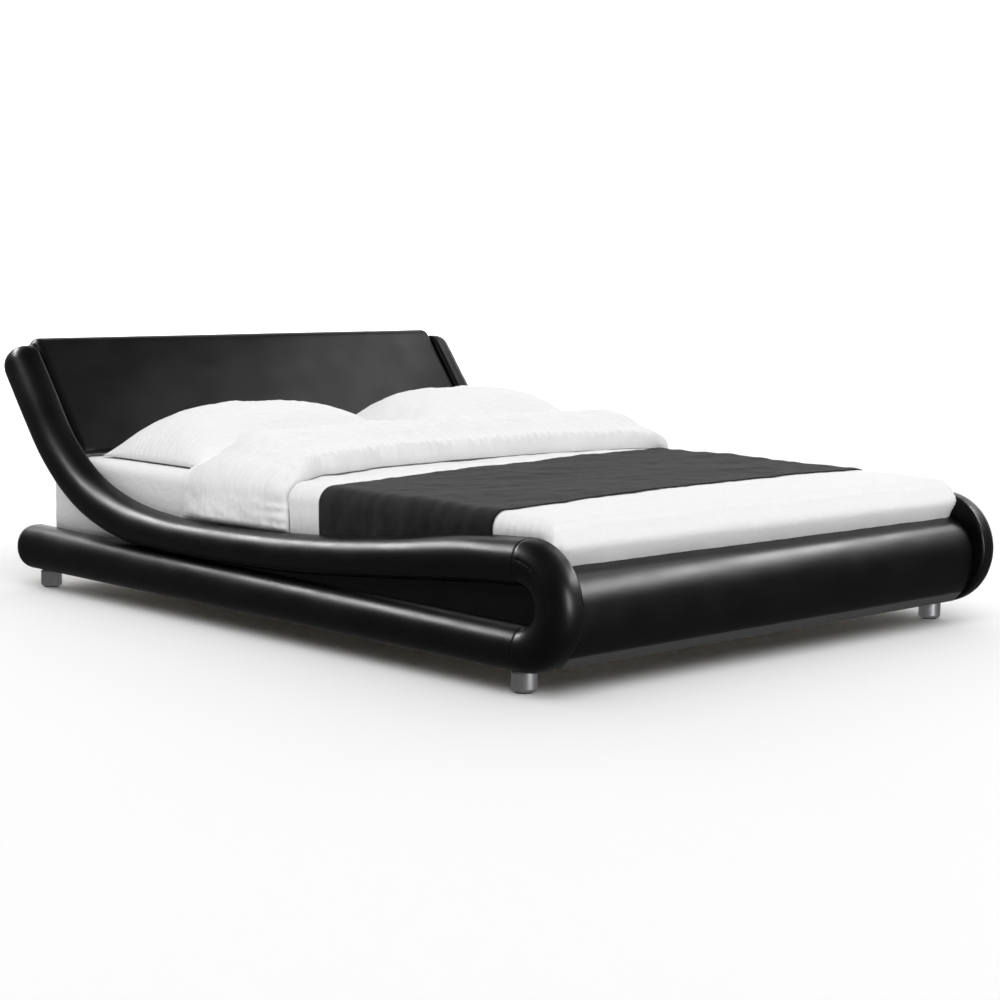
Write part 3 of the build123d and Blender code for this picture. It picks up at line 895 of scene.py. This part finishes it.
def makeStage():
    pale, _, _ = startMaterial("paleFloor", Base_Color=linear("#fafafa"), Roughness=0.9,
                               Specular_IOR_Level=0.1)
    floor = stagePlane("floor", (studio["floor"], studio["floor"]), pale)
    floor.visible_glossy = False
    lit, _, _ = startMaterial("litPaper", Base_Color=linear("#ffffff"), Emission_Color=(1, 1, 1, 1),
                              Emission_Strength=1.0)
    backdrop = stagePlane("backdrop", studio["backdrop"]["size"], lit)
    backdrop.location = studio["backdrop"]["place"]
    backdrop.rotation_euler = (math.pi / 2, 0, -math.radians(view["yaw"]))
    world = bpy.data.worlds.new("studioWorld")
    bpy.context.scene.world = world
    world.use_nodes = True
    world.node_tree.nodes["Background"].inputs["Color"].default_value = (1, 1, 1, 1)
    world.node_tree.nodes["Background"].inputs["Strength"].default_value = studio["world"]


def aimed(light, spot, target):
    lamp = bpy.data.objects.new(light.name, light)
    lamp.location = spot
    lamp.rotation_mode = "QUATERNION"
    lamp.rotation_quaternion = (Vector(target) - Vector(spot)).to_track_quat("-Z", "Y")
    bpy.context.collection.objects.link(lamp)
    return lamp


def softSun(name, spot, strength, spread):
    light = bpy.data.lights.new(name, "SUN")
    light.energy = strength
    light.angle = math.radians(spread)
    aimed(light, spot, (0, 0, 0)).visible_glossy = False


def sheenStrip(name, spot, target, size, power):
    # a long soft box that only draws highlights
    light = bpy.data.lights.new(name, "AREA")
    light.shape = "RECTANGLE"
    light.size, light.size_y = size
    light.energy = power
    aimed(light, spot, target).visible_diffuse = False


view = {
    "place": (-4230.2, -3483.5, 1014.7),   # seen from the foot's left corner
    "yaw": 43.941,                         # degrees from straight up the bed towards its right side
    "pitch": 6.689,                        # degrees downwards
    "roll": 0.8505,
    "lens": 78.66,
}


def setCamera():
    yaw, pitch, roll = (math.radians(view[key]) for key in ("yaw", "pitch", "roll"))
    ahead = Vector((math.sin(yaw) * math.cos(pitch), math.cos(yaw) * math.cos(pitch), -math.sin(pitch)))
    right = Vector((math.cos(yaw), -math.sin(yaw), 0))
    up = right.cross(ahead)
    right, up = right * math.cos(roll) + up * math.sin(roll), up * math.cos(roll) - right * math.sin(roll)
    turn = Matrix((right, up, -ahead)).transposed().to_4x4()
    camera = bpy.data.objects.new("camera", bpy.data.cameras.new("camera"))
    camera.data.lens = view["lens"]
    camera.data.sensor_width = 36
    camera.data.clip_end = 100
    camera.matrix_world = Matrix.Translation(place(*view["place"])) @ turn
    bpy.context.collection.objects.link(camera)
    bpy.context.scene.camera = camera


makeStage()
softSun("keySun", (-1.5, -2.4, 3.6), 1.95, 60)
softSun("topSun", (0.4, 0.5, 4.0), 1.0, 110)
sheenStrip("rollStrip", (-2.05, 2.9, 2.8), (-0.85, 0, 0.3), (3.2, 0.5), 250)
sheenStrip("headStrip", (2.4, -0.1, 2.9), (0, 0.9, 0.6), (2.6, 0.5), 24)
sheenStrip("footStrip", (2.4, -2.45, 2.35), (0, -1.1, 0.25), (2.6, 0.4), 150)
sheenStrip("noseStrip", (-0.3, -4.5, 0.8), (-0.85, -1.1, 0.2), (0.5, 1.4), 120)
setCamera()
bpy.context.scene.view_settings.view_transform = "Standard"
print("stage and lights made")
